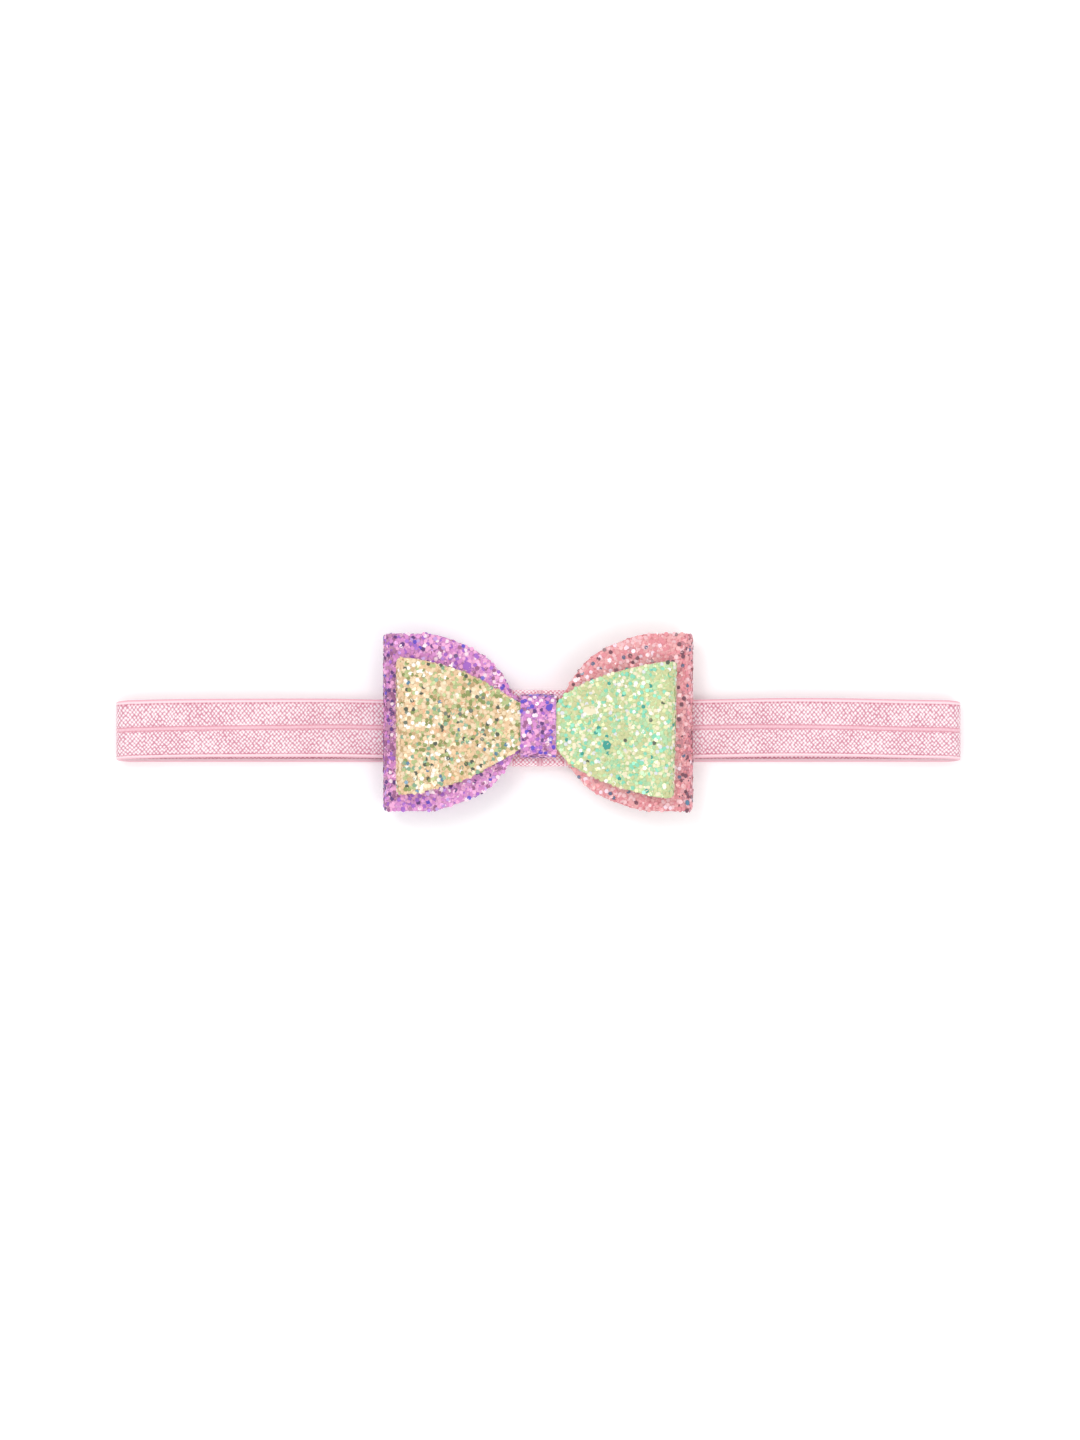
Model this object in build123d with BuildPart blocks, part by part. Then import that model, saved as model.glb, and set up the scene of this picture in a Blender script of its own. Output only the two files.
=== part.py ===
# A double hair bow on an elastic headband. It lies flat, with the bow facing up.
# X runs along the band, Y up the face of the bow and Z out of it. The origin is on the
# surface that the band lies on, under the middle of the big bow.
import os
from collections import namedtuple
from math import atan2, cos, sin

from build123d import *

os.makedirs("parts", exist_ok=True)

# The band: one strip of fold-over elastic, joined into a ring behind the bow
band_span = 217.0  # end to end, lying flat
elastic_width = 15.0
elastic_thick = 0.9
crease_width = 0.9  # the fold line down the middle of both faces
crease_depth = 0.2
selvedge_width = 0.8  # both edges are a little thinner
selvedge_step = 0.12
fold_height = 6.6  # outside height of the two folded ends
end_length = 38.5  # from a folded end to where the stretching length begins
low_margin = 2.4  # the front layer lies low under the bow, and this far past it
band_y = -2.7  # middle of the back layer
layer_shift = 1.1  # how much higher the front layer lies at the middle, along Y

# The lap that joins the strip's two ends, sewn through with zigzag thread
lap_length = 12.0
lap_ramp = 6.0
thread = 0.3
zigzag_rows = 2
zigzag_swing = 1.0
zigzag_pitch = 1.5
zigzag_points = 9

# The keeper: a short piece of the same elastic, wrapped round the front layer
keeper_side_gap = 1.45  # beside the band, inside the keeper
keeper_bend = 1.4
keeper_under_gap = 0.2  # above the back layer
keeper_end_margin = 2.85  # its overlapped ends stop this far short of its sides

# The glitter sheet: a cloth backing under a glitter coat
backing_thick = 0.55
glitter_thick = 0.35

# Hot glue
film = 0.15  # between overlapped ends
leaf_glue = 0.2  # between the two leaves of a bow, and between the bows
pad_glue = 0.5  # between the keeper and the wrap
glue_margin = 0.4  # how far each film stays inside the pieces that it joins

# The centre wrap, a strip of glitter sheet round both bows
wrap_width = 9.1
wrap_height = 15.9
wrap_y = -0.95
wrap_back_bend = 0.2  # inside; the big loops stop short of the wrap's sides by as much
wrap_front_bend = 2.0
wrap_end_margin = 2.45  # its overlapped ends stop this far short of its sides

# The bows: each loop is a strip of glitter sheet, folded over with its cut ends at the middle
big_reach = 39.6  # from the middle to the fold
big_height = 45.4
big_fold = 8.0  # outside height of the fold, along Z
big_flare_margin = 9.6  # the outline has its full height this far in from the fold
small_inset = 3.85  # its folds stop this far short of the big bow's
small_height = 34.7
small_fold = 5.8
small_flare_margin = 2.75
small_waist_gap = 0.05  # between its waist and the bends of the wrap
small_y = -1.9
band_gap = 0.55  # between the big bow's folds and the band's front layer
bows_gap = 0.3  # between the bows at their folds
butt_gap = 0.2  # between the left and right loops, under the wrap
corner_radius = 2.0
flare_shape = ((0.15, 0.25), (0.3, 0.5), (0.5, 0.74), (0.75, 0.92))  # length, height

# Heights of the stack at the middle, from the back layer up
sheet = backing_thick + glitter_thick
keeper_under = elastic_thick + keeper_under_gap
keeper_floor = keeper_under + 2 * elastic_thick + film
lap_low = keeper_floor + thread
lap_top = lap_low + 2 * elastic_thick
keeper_roof = lap_top + thread
keeper_top = keeper_roof + elastic_thick
wrap_under = keeper_top + pad_glue
wrap_floor = wrap_under + 2 * sheet + film
big_top = wrap_floor + 2 * sheet + leaf_glue
small_low = big_top + leaf_glue
wrap_roof = small_low + 2 * sheet + leaf_glue

# Places along and across the band
half_span = band_span / 2
end_start = half_span - end_length
low_reach = big_reach + low_margin
small_reach = big_reach - small_inset
keeper_height = elastic_width + 2 * (elastic_thick + keeper_side_gap)
keeper_overlap = keeper_height - 2 * keeper_end_margin
wrap_overlap = wrap_height - 2 * wrap_end_margin
front_y = band_y + layer_shift
wrap_inner = wrap_height / 2 - sheet
wrap_edge = wrap_width / 2
big_waist = 2 * (wrap_inner - wrap_back_bend)
small_waist = 2 * (wrap_inner - wrap_front_bend - small_waist_gap)
big_fold_low = lap_low + elastic_thick + band_gap
small_fold_low = big_fold_low + big_fold + bows_gap


def export(piece, name):
    piece.part.label = name
    export_step(piece.part, f"parts/{name}.step")


def strip_face(plane, draw, inner, outer):
    # The side view of a strip, between the two lines that draw() makes at these distances
    with BuildSketch(plane) as face:
        with BuildLine():
            inside = draw(inner)
            outside = draw(outer)
            Line(inside[0] @ 0, outside[0] @ 0)
            Line(inside[-1] @ 1, outside[-1] @ 1)
        make_face()
    return face.sketch


def lay_elastic(plane, draw):
    # A length of elastic, creased down the middle and thinner along both edges
    edge = elastic_width / 2
    crease = crease_width / 2
    rib = edge - selvedge_width
    zones = (
        (-edge, -rib, selvedge_step),
        (-rib, -crease, 0),
        (-crease, crease, crease_depth),
        (crease, rib, 0),
        (rib, edge, selvedge_step),
    )
    for start, end, step in zones:
        half = elastic_thick / 2 - step
        extrude(strip_face(plane.offset(start), draw, -half, half), amount=end - start)


def outward_plane(side, middle, slant=0):
    # A vertical plane along the band, with its X running outwards from the middle
    outward = Vector(side * cos(slant), -sin(slant), 0)
    return Plane((0, middle, 0), x_dir=outward, z_dir=outward.cross(Vector(0, 0, 1)))


# Zigzag stitches through the lap: threads above and below it, joined through it
with BuildPart() as stitches:
    rows = [lap_length / 2 * (2 * (r + 0.5) / zigzag_rows - 1) for r in range(zigzag_rows)]
    first = -zigzag_pitch * (zigzag_points - 1) / 2
    for row in rows:
        points = [
            (row + zigzag_swing / 2 * (-1) ** n, front_y + first + n * zigzag_pitch)
            for n in range(zigzag_points)
        ]
        for level in (keeper_floor, lap_top):
            with BuildSketch(Plane.XY.offset(level)):
                with BuildLine():
                    Polyline(*points)
                trace(line_width=thread)
            extrude(amount=thread)
        with BuildSketch(Plane.XY.offset(keeper_floor)):
            with Locations(*points):
                Rectangle(thread, thread)
        extrude(amount=keeper_roof - keeper_floor)
export(stitches, "band_join_stitches")

# The back layer, flat on the surface between the two end pieces
with BuildPart() as band_back:
    lay_elastic(
        outward_plane(1, band_y),
        lambda out: [
            Line((-end_start, elastic_thick / 2 + out), (end_start, elastic_thick / 2 + out))
        ],
    )
export(band_back, "band_back")

low_level = lap_low + elastic_thick / 2
high_level = fold_height - elastic_thick / 2
along = Vector(1, 0)


def front_line(side, out):
    # A front half, from its end in the lap, low under the bow, up to its end piece. The right
    # half lies over the left one at the lap.
    low = low_level + out
    high = high_level + out
    trim = end_start + elastic_thick
    rise = [
        Spline((low_reach, low), (end_start, high), tangents=(along, along)),
        Line((end_start, high), (trim, high)),
    ]
    if side < 0:
        return [Line((-lap_length / 2, low), (low_reach, low))] + rise
    over = low + elastic_thick
    ramp_start = lap_length / 2 + thread
    ramp_end = ramp_start + lap_ramp
    ramp = [
        Line((-lap_length / 2, over), (ramp_start, over)),
        Spline((ramp_start, over), (ramp_end, low), tangents=(along, along)),
        Line((ramp_end, low), (low_reach, low)),
    ]
    return ramp + rise


def end_line(out):
    # Both layers of an end piece and the fold between them, from the front layer to the back one
    radius = fold_height / 2 - elastic_thick / 2 + out
    middle = fold_height / 2
    fold_x = half_span - fold_height / 2
    return [
        Line((end_start, middle + radius), (fold_x, middle + radius)),
        ThreePointArc((fold_x, middle + radius), (fold_x + radius, middle), (fold_x, middle - radius)),
        Line((fold_x, middle - radius), (end_start, middle - radius)),
    ]


# The front halves run slightly down towards the ends, to lie over the back layer there
slant = atan2(layer_shift, end_start)
for side, half in ((-1, "left"), (1, "right")):
    with BuildPart() as band_front:
        lay_elastic(outward_plane(side, front_y, slant), lambda out: front_line(side, out))
        split(bisect_by=Plane.YZ.offset(side * end_start), keep=Keep.BOTTOM if side > 0 else Keep.TOP)
        add(stitches.part, mode=Mode.SUBTRACT)
    export(band_front, f"band_front_{half}")
    with BuildPart() as band_end:
        lay_elastic(outward_plane(side, band_y), end_line)
    export(band_end, f"band_end_{half}")


def coil_line(start, side, floor, roof, under, bends, out):
    # A strip wrapped once round and overlapped below, `out` outside the given faces. It starts
    # inside the overlap, and the other end passes under it.
    side = side + out
    path = FilletPolyline(
        (start, floor - out),
        (-side, floor - out),
        (-side, roof + out),
        (side, roof + out),
        (side, under - out),
        (-start, under - out),
        radius=[bend + out for bend in bends],
    )
    return [path]


# The keeper, wrapped round the front layer with its ends overlapped underneath
def keeper_line(out):
    middle = elastic_thick / 2
    return coil_line(
        keeper_overlap / 2,
        keeper_height / 2 - middle,
        keeper_floor - middle,
        keeper_top - middle,
        keeper_under + middle,
        [keeper_bend] * 4,
        out,
    )


with BuildPart() as keeper:
    lay_elastic(Plane((0, front_y, 0), x_dir=(0, 1, 0), z_dir=(1, 0, 0)), keeper_line)
export(keeper, "band_keeper")


def glue_film(name, width, height, middle, level, thick):
    with BuildPart() as glue:
        with BuildSketch(Plane.XY.offset(level)):
            with Locations((0, middle)):
                RectangleRounded(width - 2 * glue_margin, height - 2 * glue_margin, glue_margin)
        extrude(amount=thick)
    export(glue, name)


def wrap_line(out):
    return coil_line(
        wrap_overlap / 2,
        wrap_inner,
        wrap_floor,
        wrap_roof,
        wrap_under + sheet,
        [wrap_back_bend, wrap_front_bend, wrap_front_bend, wrap_back_bend],
        out,
    )


def wrap_layer(name, inner, outer):
    plane = Plane((0, wrap_y, 0), x_dir=(0, 1, 0), z_dir=(1, 0, 0))
    with BuildPart() as layer:
        extrude(strip_face(plane, wrap_line, inner, outer), amount=wrap_width / 2, both=True)
    export(layer, name)


wrap_layer("wrap_backing", 0, backing_thick)
wrap_layer("wrap_glitter", backing_thick, sheet)

Bow = namedtuple("Bow", "name reach height middle waist flare_end pinch_low fold_low fold_size")
big_bow = Bow(
    name="big_loop",
    reach=big_reach,
    height=big_height,
    middle=0,
    waist=big_waist,
    flare_end=big_reach - big_flare_margin,
    pinch_low=wrap_floor,
    fold_low=big_fold_low,
    fold_size=big_fold,
)
small_bow = Bow(
    name="small_loop",
    reach=small_reach,
    height=small_height,
    middle=small_y,
    waist=small_waist,
    flare_end=small_reach - small_flare_margin,
    pinch_low=small_low,
    fold_low=small_fold_low,
    fold_size=small_fold,
)


def loop_line(bow, out):
    # The folded strip seen along Y, `out` outside its inner face: front leaf, fold, back leaf
    back_inner = bow.pinch_low + sheet - out
    front_inner = bow.pinch_low + sheet + leaf_glue + out
    radius = bow.fold_size / 2 - sheet + out
    fold_z = bow.fold_low + bow.fold_size / 2
    fold_x = bow.reach - bow.fold_size / 2
    butt_x = butt_gap / 2
    level = (along, along)
    return [
        Line((butt_x, front_inner), (wrap_edge, front_inner)),
        Spline((wrap_edge, front_inner), (fold_x, fold_z + radius), tangents=level),
        ThreePointArc((fold_x, fold_z + radius), (fold_x + radius, fold_z), (fold_x, fold_z - radius)),
        Spline((fold_x, fold_z - radius), (wrap_edge, back_inner), tangents=(-along, -along)),
        Line((wrap_edge, back_inner), (butt_x, back_inner)),
    ]


def outline_edge(bow, way):
    # One long edge of the strip's cut outline, from the middle to the fold
    waist_y = wrap_y + way * bow.waist / 2
    full_y = bow.middle + way * bow.height / 2
    run = bow.flare_end - wrap_edge
    flare = [
        (wrap_edge + along_run * run, waist_y + up * (full_y - waist_y))
        for along_run, up in ((0, 0),) + flare_shape + ((1, 1),)
    ]
    Line((0, waist_y), flare[0])
    Spline(*flare)
    Line(flare[-1], (bow.reach, full_y))


def loop_outline(bow):
    with BuildSketch(Plane.XY) as outline:
        with BuildLine():
            outline_edge(bow, 1)
            outline_edge(bow, -1)
            Line((0, wrap_y + bow.waist / 2), (0, wrap_y - bow.waist / 2))
            Line((bow.reach, bow.middle + bow.height / 2), (bow.reach, bow.middle - bow.height / 2))
        make_face()
        fillet(outline.vertices().group_by(Axis.X)[-1], corner_radius)
    return outline.sketch


def loop_layer(bow, side, inner, outer):
    # One layer of a right loop, or its mirror image for a left one
    with BuildPart() as loop:
        profile = strip_face(outward_plane(1, 0), lambda out: loop_line(bow, out), inner, outer)
        extrude(profile, amount=bow.height, both=True)
        extrude(loop_outline(bow), amount=bow.fold_low + 2 * bow.fold_size, mode=Mode.INTERSECT)
        if side < 0:
            mirror(about=Plane.YZ, mode=Mode.REPLACE)
    return loop


for bow in (big_bow, small_bow):
    for side, half in ((-1, "left"), (1, "right")):
        export(loop_layer(bow, side, 0, backing_thick), f"{bow.name}_{half}_backing")
        export(loop_layer(bow, side, backing_thick, sheet), f"{bow.name}_{half}_glitter")

# Hot glue, from the keeper up
glue_film("keeper_glue", elastic_width, keeper_overlap, front_y, keeper_under + elastic_thick, film)
glue_film("bow_glue_pad", wrap_width, wrap_overlap, wrap_y, keeper_top, pad_glue)
glue_film("wrap_glue", wrap_width, wrap_overlap, wrap_y, wrap_under + sheet, film)
glue_film("big_bow_glue", wrap_width, big_waist, wrap_y, wrap_floor + sheet, leaf_glue)
glue_film("bows_glue", wrap_width, small_waist, wrap_y, big_top, leaf_glue)
glue_film("small_bow_glue", wrap_width, small_waist, wrap_y, small_low + sheet, leaf_glue)
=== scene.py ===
# Hair bow: two layered glitter bows on a headband of fold-over elastic, lying flat, face up.
# Lengths are in millimetres until a mesh is made, and mm turns them into metres.
import math

import bmesh
import bpy
import numpy as np
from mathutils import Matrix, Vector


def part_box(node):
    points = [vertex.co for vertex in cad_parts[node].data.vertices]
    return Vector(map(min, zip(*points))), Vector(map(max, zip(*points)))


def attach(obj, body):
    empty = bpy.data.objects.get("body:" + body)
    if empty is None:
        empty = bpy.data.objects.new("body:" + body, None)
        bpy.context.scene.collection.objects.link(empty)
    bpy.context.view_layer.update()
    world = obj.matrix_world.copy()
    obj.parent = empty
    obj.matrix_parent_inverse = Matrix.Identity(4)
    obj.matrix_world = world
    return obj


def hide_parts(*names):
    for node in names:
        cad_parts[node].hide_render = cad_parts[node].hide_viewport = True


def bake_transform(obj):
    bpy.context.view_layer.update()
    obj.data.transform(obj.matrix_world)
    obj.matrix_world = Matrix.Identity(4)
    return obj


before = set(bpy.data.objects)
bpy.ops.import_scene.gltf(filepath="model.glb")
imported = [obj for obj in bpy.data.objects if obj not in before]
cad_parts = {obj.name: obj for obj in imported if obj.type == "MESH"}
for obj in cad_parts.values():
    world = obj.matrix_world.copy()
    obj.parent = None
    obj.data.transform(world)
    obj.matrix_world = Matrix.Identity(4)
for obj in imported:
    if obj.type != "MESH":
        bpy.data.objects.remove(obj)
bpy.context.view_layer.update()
mm = 0.001
sides = {"Left": -1, "Right": 1}


def nodeBox(node):
    # lowest and highest corner of a CAD node, in millimetres
    low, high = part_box(node)
    return np.array(low) / mm, np.array(high) / mm


def hexColour(code):
    # sRGB hex to linear RGBA
    parts = [int(code[i : i + 2], 16) / 255 for i in (0, 2, 4)]
    return [c / 12.92 if c <= 0.04045 else ((c + 0.055) / 1.055) ** 2.4 for c in parts] + [1.0]


def addNode(tree, kind, sockets=None, stops=None, **settings):
    # adds a node with its settings. A socket is given a value, an output that feeds it, or a node
    # whose first output feeds it, and a colour ramp also gets its stops
    node = tree.nodes.new(kind)
    for key, value in settings.items():
        setattr(node, key, value)
    for key, value in (sockets or {}).items():
        if isinstance(value, bpy.types.Node):
            value = value.outputs[0]
        if isinstance(value, bpy.types.NodeSocket):
            tree.links.new(value, node.inputs[key])
        else:
            node.inputs[key].default_value = value
    if stops:
        elements = node.color_ramp.elements
        while len(elements) < len(stops):
            elements.new(1.0)
        for element, (position, code) in zip(elements, stops):
            element.position = position
            element.color = hexColour(code)
    return node


def newMaterial(name, **sockets):
    # a material with its Principled shader, whose plain values are set by socket name
    material = bpy.data.materials.new(name)
    material.use_nodes = True
    shader = material.node_tree.nodes["Principled BSDF"]
    for key, value in sockets.items():
        shader.inputs[key.replace("_", " ")].default_value = value
    return material, material.node_tree, shader


# Patterns on the strips are drawn in millimetres along and across them, kept as stripPlace.
knitSet = {
    "band": {
        "name": "foldOverElasticKnitted",
        "stitchAlong": 1.03,  # from stitch to stitch, drawn a tenth coarser so that it shows
        "rowPair": 1.2,  # two rows of stitches, staggered by half a stitch
        "yarnToneAndShade": [(0.6, "FBF6F7"), (0.76, "F6E2E8"), (0.94, "E8BAC7"), (1.12, "D08A9E")],
    },
    "keeper": {  # paler and pinker than the band, painted lighter to make up for the shade the bow casts on it, with the stitches closer together
        "name": "keeperElasticKnittedLightened",
        "stitchAlong": 0.95,
        "rowPair": 1.1,
        "yarnToneAndShade": [(0.62, "FFFAFB"), (0.78, "FFE7ED"), (0.95, "FAC3D0"), (1.12, "DD8A9F")],
    },
    "wander": 2.857,  # how far apart the rows' bends are
    "wanderBy": (0.7, 0.3, 0.0),
    "yarnUneven": (0.769, 0.36),  # size and share of each layer of tone over the stitches
    "patches": (7.692, 0.3),
    "filament": (0.625, 0.1111),  # length and width of the filaments' glints
    "filamentShare": 0.34,
    "filamentSlant": 1.05,
    "halfWidth": 7.5,
    "creaseColour": "F8DDE4",
    # painted shade in the crease's two grooves, the hollows of the corded selvedges and at the rounded
    # edges, as multiplying tones across the width
    "grooveShadeStops": [
        (0.0, "F8D8E0"), (0.016, "FBE2E8"), (0.034, "FFFFFF"), (0.05, "FFFFFF"), (0.066, "EBB8C5"),
        (0.085, "FFFFFF"), (0.476, "FFFFFF"), (0.493, "E6A9B9"), (0.51, "F8E2E8"), (0.543, "F8E2E8"),
        (0.56, "E6A9B9"), (0.577, "FFFFFF"), (0.915, "FFFFFF"), (0.934, "EBB8C5"), (0.95, "FFFFFF"),
        (0.966, "FFFFFF"), (0.984, "F4CDD7"), (1.0, "EDBAC7"),
    ],
    # white where it is knitted tighter and shows no flecks
    "tightPlaces": [
        (0.0, "FFFFFF"), (0.045, "FFFFFF"), (0.07, "000000"), (0.478, "000000"), (0.492, "E8E8E8"),
        (0.562, "E8E8E8"), (0.576, "000000"), (0.93, "000000"), (0.955, "FFFFFF"), (1.0, "FFFFFF"),
    ],
    "relief": 0.12,
}


def foldOverElastic(knit):
    # nylon and spandex, warp knitted with a bird's-eye face: satin sheen, raised stitches painted light as
    # white flecks of bright yarn, stitch hollows painted dark as shade, a double line down the crease and
    # corded selvedges
    material, tree, shader = newMaterial(
        knit["name"], Roughness=0.5, Sheen_Weight=0.3, Sheen_Roughness=0.4, Specular_IOR_Level=0.35
    )
    place = addNode(tree, "ShaderNodeAttribute", attribute_name="stripPlace").outputs["Vector"]
    # the rows wander a little, so the knit isn't a perfect grid
    wander = addNode(
        tree, "ShaderNodeTexNoise", {"Vector": place, "Scale": 1 / knitSet["wander"], "Detail": 1.0}
    )
    loose = addNode(
        tree,
        "ShaderNodeVectorMath",
        {0: wander.outputs["Color"], 1: knitSet["wanderBy"], 2: place},
        operation="MULTIPLY_ADD",
    )
    split = addNode(tree, "ShaderNodeSeparateXYZ", {"Vector": loose})
    stitches = addNode(
        tree, "ShaderNodeMath", {0: split.outputs["X"], 1: knit["stitchAlong"]}, operation="DIVIDE"
    )
    rows = addNode(tree, "ShaderNodeMath", {0: split.outputs["Y"], 1: knit["rowPair"]}, operation="DIVIDE")
    # the stitches lie where two sets of slanting rows cross
    rising = addNode(tree, "ShaderNodeMath", {0: stitches, 1: rows}, operation="ADD")
    falling = addNode(tree, "ShaderNodeMath", {0: stitches, 1: rows}, operation="SUBTRACT")
    lattice = addNode(tree, "ShaderNodeCombineXYZ", {"X": rising, "Y": falling})
    tone = addNode(
        tree,
        "ShaderNodeTexVoronoi",
        {"Vector": lattice, "Scale": 1.0, "Randomness": 0.25},
        voronoi_dimensions="2D",
    )
    size, share = knitSet["yarnUneven"]
    yarn = addNode(
        tree, "ShaderNodeTexNoise", {"Vector": place, "Scale": 1 / size, "Detail": 3.0, "Roughness": 0.7}
    )
    patchSize, patchShare = knitSet["patches"]
    patches = addNode(tree, "ShaderNodeTexNoise", {"Vector": place, "Scale": 1 / patchSize, "Detail": 2.0})
    # the yarn's filaments run aslant through each stitch, and their glints are painted into the tone
    long, wide = knitSet["filament"]
    slant = addNode(
        tree,
        "ShaderNodeMapping",
        {
            "Vector": place,
            "Rotation": (0.0, 0.0, knitSet["filamentSlant"]),
            "Scale": (1 / long, 1 / wide, 1.0),
        },
    )
    filaments = addNode(tree, "ShaderNodeTexNoise", {"Vector": slant, "Scale": 1.0, "Detail": 2.0})
    for layer, amount in ((yarn, share), (patches, patchShare), (filaments, knitSet["filamentShare"])):
        tone = addNode(tree, "ShaderNodeMath", {0: layer, 1: amount, 2: tone}, operation="MULTIPLY_ADD")
    # the stitches are painted light and the hollows between them dark as shade, with painted filament glints
    # and real tone that varies over the yarn and in patches
    yarnToneAndShade = addNode(tree, "ShaderNodeValToRGB", {"Fac": tone}, knit["yarnToneAndShade"])
    across = addNode(
        tree,
        "ShaderNodeMapRange",
        {
            "Value": addNode(tree, "ShaderNodeSeparateXYZ", {"Vector": place}).outputs["Y"],
            "From Min": -knitSet["halfWidth"],
            "From Max": knitSet["halfWidth"],
            "To Min": 0.0,
            "To Max": 1.0,
        },
    )
    # painted shade: darker along the crease grooves, the selvedge hollows and the rounded edges
    grooveShade = addNode(tree, "ShaderNodeValToRGB", {"Fac": across}, knitSet["grooveShadeStops"])
    tight = addNode(tree, "ShaderNodeValToRGB", {"Fac": across}, knitSet["tightPlaces"])
    # sockets 6 and 7 of a mix are its two colours, and output 2 is their mix
    knitted = addNode(
        tree,
        "ShaderNodeMix",
        {0: tight, 6: yarnToneAndShade, 7: hexColour(knitSet["creaseColour"])},
        data_type="RGBA",
    )
    colour = addNode(
        tree,
        "ShaderNodeMix",
        {0: 1.0, 6: knitted.outputs[2], 7: grooveShade},
        data_type="RGBA",
        blend_type="MULTIPLY",
    )
    tree.links.new(colour.outputs[2], shader.inputs["Base Color"])
    depth = addNode(tree, "ShaderNodeMath", {0: tone, 1: -1.0}, operation="MULTIPLY")
    bump = addNode(
        tree, "ShaderNodeBump", {"Height": depth, "Strength": 0.5, "Distance": knitSet["relief"] * mm}
    )
    tree.links.new(bump.outputs[0], shader.inputs["Normal"])
    return material


weaveSet = {"threadSpacing": 0.42, "threadShare": 0.25, "fluff": 0.3333, "relief": 0.1}


def wovenBacking():
    # white polyester cloth, plain woven and slightly fluffy: matt, with a fine thread grid
    material, tree, shader = newMaterial(
        "backingClothWoven", Roughness=0.85, Sheen_Weight=0.25, Specular_IOR_Level=0.2
    )
    place = addNode(tree, "ShaderNodeAttribute", attribute_name="stripPlace").outputs["Vector"]
    split = addNode(tree, "ShaderNodeSeparateXYZ", {"Vector": place})
    turn = math.pi / weaveSet["threadSpacing"]  # half a wave to each thread
    waves = []
    for axis in "XY":
        phase = addNode(tree, "ShaderNodeMath", {0: split.outputs[axis], 1: turn}, operation="MULTIPLY")
        waves.append(addNode(tree, "ShaderNodeMath", {0: phase}, operation="SINE"))
    weave = addNode(tree, "ShaderNodeMath", {0: waves[0], 1: waves[1]}, operation="MULTIPLY")
    fluff = addNode(
        tree, "ShaderNodeTexNoise", {"Vector": place, "Scale": 1 / weaveSet["fluff"], "Detail": 5.0}
    )
    height = addNode(
        tree,
        "ShaderNodeMath",
        {0: weave, 1: weaveSet["threadShare"], 2: fluff},
        operation="MULTIPLY_ADD",
    )
    # darker where the weave is lower and lighter on the raised threads, as painted shade, with random tone
    # from the fluff
    colour = addNode(
        tree, "ShaderNodeValToRGB", {"Fac": height}, [(0.25, "DAD4CC"), (0.55, "F1EDE6"), (0.85, "FCFAF6")]
    )
    tree.links.new(colour.outputs[0], shader.inputs["Base Color"])
    bump = addNode(
        tree, "ShaderNodeBump", {"Height": height, "Strength": 0.6, "Distance": weaveSet["relief"] * mm}
    )
    tree.links.new(bump.outputs[0], shader.inputs["Normal"])
    return material


coatSet = {
    "grain": 0.42,
    "grainShare": 0.62,
    "cloud": 9.0,  # size of the loose patches where the grains are lighter or darker
    "cloudShare": 0.7,
    "roughness": (0.2, 0.35),  # of the smoothest grains, and how much more the others have
    "relief": 0.12,
}


def glitterCoat(name, deep, middle, light, speck):
    # clear resin rolled over fine polyester glitter: every grain a slightly different tint, with
    # small bright facets and darker gaps, under a thin glossy skin
    material, tree, shader = newMaterial(name, Coat_Weight=0.25, Coat_Roughness=0.3, Specular_IOR_Level=0.4)
    place = addNode(tree, "ShaderNodeTexCoord").outputs["Object"]
    grain = addNode(tree, "ShaderNodeTexVoronoi", {"Vector": place, "Scale": 1 / (coatSet["grain"] * mm)})
    tint = addNode(tree, "ShaderNodeSeparateColor", {"Color": grain.outputs["Color"]})
    cloud = addNode(
        tree, "ShaderNodeTexNoise", {"Vector": place, "Scale": 1 / (coatSet["cloud"] * mm), "Detail": 3.0}
    )
    spread = addNode(tree, "ShaderNodeMath", {0: tint, 1: coatSet["grainShare"]}, operation="MULTIPLY")
    share = coatSet["cloudShare"]
    pick = addNode(tree, "ShaderNodeMath", {0: cloud, 1: share, 2: spread}, operation="MULTIPLY_ADD")
    tints = [(0.28, speck), (0.38, deep), (0.62, middle), (0.86, light)]
    colour = addNode(tree, "ShaderNodeValToRGB", {"Fac": pick}, tints)
    tree.links.new(colour.outputs[0], shader.inputs["Base Color"])
    smoothest, more = coatSet["roughness"]
    rough = addNode(
        tree, "ShaderNodeMath", {0: tint.outputs[1], 1: more, 2: smoothest}, operation="MULTIPLY_ADD"
    )
    tree.links.new(rough.outputs[0], shader.inputs["Roughness"])
    bump = addNode(
        tree,
        "ShaderNodeBump",
        {"Height": tint.outputs[2], "Strength": 0.7, "Distance": coatSet["relief"] * mm},
    )
    tree.links.new(bump.outputs[0], shader.inputs["Normal"])
    return material


glueSet = {"bubble": 0.9, "relief": 0.1}


def hotGlue():
    # clear ethylene vinyl acetate, pressed out while soft: milky, waxy, with small bubbles
    material, tree, shader = newMaterial(
        "hotGluePressed", Roughness=0.35, Subsurface_Weight=0.4, Subsurface_Scale=0.001, IOR=1.48
    )
    place = addNode(tree, "ShaderNodeTexCoord").outputs["Object"]
    bubbles = addNode(tree, "ShaderNodeTexVoronoi", {"Vector": place, "Scale": 1 / (glueSet["bubble"] * mm)})
    colour = addNode(tree, "ShaderNodeValToRGB", {"Fac": bubbles}, [(0.1, "FBF8EF"), (0.6, "EBE4D2")])
    tree.links.new(colour.outputs[0], shader.inputs["Base Color"])
    bump = addNode(
        tree, "ShaderNodeBump", {"Height": bubbles, "Strength": 0.3, "Distance": glueSet["relief"] * mm}
    )
    tree.links.new(bump.outputs[0], shader.inputs["Normal"])
    return material


threadSet = {"ply": 1.6, "relief": 0.05}


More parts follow.
